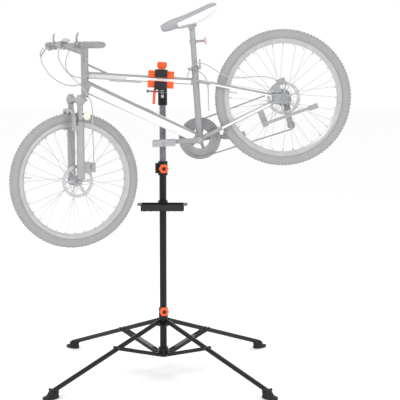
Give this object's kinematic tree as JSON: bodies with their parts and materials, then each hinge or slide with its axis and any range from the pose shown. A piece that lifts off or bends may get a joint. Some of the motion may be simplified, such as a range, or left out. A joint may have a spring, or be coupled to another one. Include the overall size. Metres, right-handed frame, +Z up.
{
  "type": "bicycle on repair stand",
  "caption": "Folding repair stand with telescopic mast, tool tray and rotating clamp head holding a hardtail mountain bicycle by its top tube.",
  "frame": {"origin": "floor point under the axis of the stand's mast", "axes": "+Z up, +X towards the bicycle's rear wheel, -Y the side of the mast on which the bicycle hangs"},
  "size_m": [1.6497, 1.214, 1.8979],
  "materials": {
    "black_steel": "satin black paint",
    "black_plastic": "moulded, fine texture",
    "black_rubber": "matt",
    "grey_steel": "satin",
    "orange_plastic": "moulded",
    "orange_rubber": "matt",
    "grey_paint": "satin pale grey and white paint",
    "alloy": "satin",
    "drive_steel": "oiled",
    "pedal_plastic": "moulded",
    "grip_rubber": "matt",
    "tyre_rubber": "matt, knobbed tread",
    "saddle_cover": "soft cover over foam",
    "cable_housing": "smooth housing"
  },
  "bodies": {
    "mast": {"mast_tube": "black_steel", "base_hub": "black_steel", "post_clamp": "black_steel"},
    "collar": {"leg_collar": "black_steel"},
    "collar_knob": {"collar_knob": "orange_plastic"},
    "post_knob": {"post_knob": "orange_plastic"},
    "tray": {"tool_tray": "black_plastic"},
    "post": {"post_tube": "grey_steel"},
    "tee": {"head_tee": "black_steel"},
    "head_knob": {"head_knob": "orange_plastic"},
    "head": {"clamp_arm": "black_steel", "jaw_lower": "black_steel", "jaw_pad_lower": "orange_rubber", "clamp_stud": "grey_steel", "frame_front": "grey_paint", "frame_rear": "grey_paint", "seat_collar": "alloy", "rear_caliper": "alloy", "chain": "drive_steel", "rear_derailleur": "drive_steel", "frame_cables": "cable_housing"},
    "upper_jaw": {"jaw_upper": "black_steel", "jaw_pad_upper": "orange_rubber"},
    "clamp_nut": {"clamp_nut": "orange_plastic"},
    "cam_lever": {"cam_lever": "orange_plastic"},
    "steering": {"fork_upper": "alloy", "stem": "alloy", "handlebar": "alloy", "grips": "grip_rubber", "lever_mounts": "alloy", "steering_cables": "cable_housing"},
    "brake_lever_left": {"brake_lever_left": "alloy"},
    "brake_lever_right": {"brake_lever_right": "alloy"},
    "fork_sliders": {"fork_lower": "grey_paint", "front_caliper": "alloy"},
    "front_wheel": {"front_tyre": "tyre_rubber", "front_rim": "alloy", "front_hub_spokes": "alloy"},
    "rear_wheel": {"rear_tyre": "tyre_rubber", "rear_rim": "alloy", "rear_hub_spokes": "alloy"},
    "cassette": {"cassette": "drive_steel"},
    "crank": {"crankset": "drive_steel"},
    "pedal_left": {"pedal_left": "pedal_plastic"},
    "pedal_right": {"pedal_right": "pedal_plastic"},
    "seat": {"seat_post": "alloy", "saddle": "saddle_cover"},
    "kickstand": {"kickstand": "alloy"},
    "strut_1": {"strut_1": "black_steel"},
    "leg_1": {"leg_1": "black_steel"},
    "foot_1": {"foot_1": "black_rubber"},
    "strut_2": {"strut_2": "black_steel"},
    "leg_2": {"leg_2": "black_steel"},
    "foot_2": {"foot_2": "black_rubber"},
    "strut_3": {"strut_3": "black_steel"},
    "leg_3": {"leg_3": "black_steel"},
    "foot_3": {"foot_3": "black_rubber"},
    "strut_4": {"strut_4": "black_steel"},
    "leg_4": {"leg_4": "black_steel"},
    "foot_4": {"foot_4": "black_rubber"}
  },
  "joints": [
    {"name": "leg_fold", "type": "hinge", "parent": "mast", "child": "strut_1", "pos_m": [0.03182, 0.03182, 0.096], "axis": [0.7071, -0.7071, 0], "range_deg": [0, 68.5]},
    {"name": "leg_1_pivot", "type": "hinge", "parent": "strut_1", "child": "leg_1", "pos_m": [0.22962, 0.22962, 0.17621], "axis": [0.7071, -0.7071, 0], "range_deg": [-137, 0]},
    {"name": "foot_1_pivot", "type": "hinge", "parent": "leg_1", "child": "foot_1", "pos_m": [0.51449, 0.51449, 0.03567], "axis": [0.7071, -0.7071, 0], "range_deg": [0, 68.5]},
    {"name": "collar_pivot", "type": "hinge", "parent": "leg_1", "child": "collar", "pos_m": [0.03182, 0.03182, 0.25642], "axis": [0.7071, -0.7071, 0], "range_deg": [0, 68.5]},
    {"name": "strut_2_pivot", "type": "hinge", "parent": "mast", "child": "strut_2", "pos_m": [-0.03182, 0.03182, 0.096], "axis": [0.7071, 0.7071, 0], "range_deg": [0, 68.5]},
    {"name": "leg_2_pivot", "type": "hinge", "parent": "strut_2", "child": "leg_2", "pos_m": [-0.22962, 0.22962, 0.17621], "axis": [0.7071, 0.7071, 0], "range_deg": [-137, 0]},
    {"name": "foot_2_pivot", "type": "hinge", "parent": "leg_2", "child": "foot_2", "pos_m": [-0.51449, 0.51449, 0.03567], "axis": [0.7071, 0.7071, 0], "range_deg": [0, 68.5]},
    {"name": "strut_3_pivot", "type": "hinge", "parent": "mast", "child": "strut_3", "pos_m": [-0.03182, -0.03182, 0.096], "axis": [-0.7071, 0.7071, 0], "range_deg": [0, 68.5]},
    {"name": "leg_3_pivot", "type": "hinge", "parent": "strut_3", "child": "leg_3", "pos_m": [-0.22962, -0.22962, 0.17621], "axis": [-0.7071, 0.7071, 0], "range_deg": [-137, 0]},
    {"name": "foot_3_pivot", "type": "hinge", "parent": "leg_3", "child": "foot_3", "pos_m": [-0.51449, -0.51449, 0.03567], "axis": [-0.7071, 0.7071, 0], "range_deg": [0, 68.5]},
    {"name": "strut_4_pivot", "type": "hinge", "parent": "mast", "child": "strut_4", "pos_m": [0.03182, -0.03182, 0.096], "axis": [-0.7071, -0.7071, 0], "range_deg": [0, 68.5]},
    {"name": "leg_4_pivot", "type": "hinge", "parent": "strut_4", "child": "leg_4", "pos_m": [0.22962, -0.22962, 0.17621], "axis": [-0.7071, -0.7071, 0], "range_deg": [-137, 0]},
    {"name": "foot_4_pivot", "type": "hinge", "parent": "leg_4", "child": "foot_4", "pos_m": [0.51449, -0.51449, 0.03567], "axis": [-0.7071, -0.7071, 0], "range_deg": [0, 68.5]},
    {"name": "collar_knob_turn", "type": "hinge", "parent": "collar", "child": "collar_knob", "pos_m": [0, 0, 0.32242], "axis": [0.1392, -0.9903, 0], "continuous": true},
    {"name": "post_knob_turn", "type": "hinge", "parent": "mast", "child": "post_knob", "pos_m": [0, 0, 1.064], "axis": [0.1392, -0.9903, 0], "continuous": true},
    {"name": "tray_height", "type": "slide", "parent": "mast", "child": "tray", "axis": [0, 0, 1], "range_m": [-0.3, 0.1]},
    {"name": "post_height", "type": "slide", "parent": "mast", "child": "post", "axis": [0, 0, 1], "range_m": [-0.1, 0.2]},
    {"name": "head_swivel", "type": "hinge", "parent": "post", "child": "tee", "pos_m": [0, 0, 1.511], "axis": [0, 0, 1], "continuous": true},
    {"name": "head_knob_turn", "type": "hinge", "parent": "tee", "child": "head_knob", "pos_m": [0, 0, 1.511], "axis": [1, 0, 0], "continuous": true},
    {"name": "head_tilt", "type": "hinge", "parent": "tee", "child": "head", "pos_m": [0, 0, 1.511], "axis": [0, 1, 0], "range_deg": [-3, 45]},
    {"name": "clamp_open", "type": "hinge", "parent": "head", "child": "upper_jaw", "pos_m": [0.00178, -0.178, 1.54095], "axis": [-0.9982, 0, 0.0593], "range_deg": [0, 18]},
    {"name": "clamp_nut_travel", "type": "slide", "parent": "head", "child": "clamp_nut", "axis": [0.0593, 0, 0.9982], "range_m": [0, 0.0227]},
    {"name": "cam_lever_swing", "type": "hinge", "parent": "head", "child": "cam_lever", "pos_m": [-0.03291, -0.232, 1.46287], "axis": [-0.9982, 0, 0.0593], "range_deg": [0, 90]},
    {"name": "steering", "type": "hinge", "parent": "head", "child": "steering", "pos_m": [-0.36953, -0.28, 1.43998], "axis": [-0.001, 0, 1], "range_deg": [-66, 0], "deforming": ["steering_cables"]},
    {"name": "brake_lever_left_squeeze", "type": "hinge", "parent": "steering", "child": "brake_lever_left", "pos_m": [-0.3951, -0.49493, 1.67196], "axis": [-0.001, 0, 1], "range_deg": [0, 16], "stiffness_Nm_per_rad": 2, "springref_deg": -11.46},
    {"name": "brake_lever_right_squeeze", "type": "hinge", "parent": "steering", "child": "brake_lever_right", "pos_m": [-0.55473, -0.16764, 1.67179], "axis": [0.001, 0, -1], "range_deg": [0, 16], "stiffness_Nm_per_rad": 2, "springref_deg": -11.46},
    {"name": "fork_travel", "type": "slide", "parent": "steering", "child": "fork_sliders", "axis": [-0.001, 0, 1], "range_m": [0, 0.04], "stiffness_N_per_m": 6000, "springref_m": -0.02},
    {"name": "front_wheel_spin", "type": "hinge", "parent": "fork_sliders", "child": "front_wheel", "pos_m": [-0.42124, -0.30543, 1.03133], "axis": [-0.4384, 0.8988, -0.0004], "continuous": true},
    {"name": "rear_wheel_spin", "type": "hinge", "parent": "head", "child": "rear_wheel", "pos_m": [0.59448, -0.28, 1.43516], "axis": [0, 1, 0], "continuous": true},
    {"name": "crank_turn", "type": "hinge", "parent": "head", "child": "crank", "pos_m": [0.18926, -0.28, 1.2326], "axis": [0, 1, 0], "continuous": true},
    {"name": "cassette_turn", "type": "hinge", "parent": "head", "child": "cassette", "pos_m": [0.59448, -0.28, 1.43516], "axis": [0, 1, 0], "continuous": true},
    {"name": "pedal_left_spin", "type": "hinge", "parent": "crank", "child": "pedal_left", "pos_m": [0.01851, -0.28, 1.22348], "axis": [0, 1, 0], "continuous": true},
    {"name": "pedal_right_spin", "type": "hinge", "parent": "crank", "child": "pedal_right", "pos_m": [0.36002, -0.28, 1.24172], "axis": [0, 1, 0], "continuous": true},
    {"name": "seat_height", "type": "slide", "parent": "head", "child": "seat", "axis": [-0.069, 0, 0.9976], "range_m": [-0.12, 0.05]},
    {"name": "kickstand_swing", "type": "hinge", "parent": "head", "child": "kickstand", "pos_m": [0.50417, -0.359, 1.31185], "axis": [0, 1, 0], "range_deg": [0, 85]}
  ],
  "couplings": [
    {"joint": "leg_1_pivot", "follows": "leg_fold", "ratio": -2},
    {"joint": "foot_1_pivot", "follows": "leg_fold", "ratio": 1},
    {"joint": "collar_pivot", "follows": "leg_fold", "ratio": 1},
    {"joint": "strut_2_pivot", "follows": "leg_fold", "ratio": 1},
    {"joint": "leg_2_pivot", "follows": "leg_fold", "ratio": -2},
    {"joint": "foot_2_pivot", "follows": "leg_fold", "ratio": 1},
    {"joint": "strut_3_pivot", "follows": "leg_fold", "ratio": 1},
    {"joint": "leg_3_pivot", "follows": "leg_fold", "ratio": -2},
    {"joint": "foot_3_pivot", "follows": "leg_fold", "ratio": 1},
    {"joint": "strut_4_pivot", "follows": "leg_fold", "ratio": 1},
    {"joint": "leg_4_pivot", "follows": "leg_fold", "ratio": -2},
    {"joint": "foot_4_pivot", "follows": "leg_fold", "ratio": 1},
    {"joint": "clamp_nut_travel", "follows": "clamp_open", "m_per_rad": 0.072},
    {"joint": "cassette_turn", "follows": "crank_turn", "ratio": 2.3333}
  ]
}
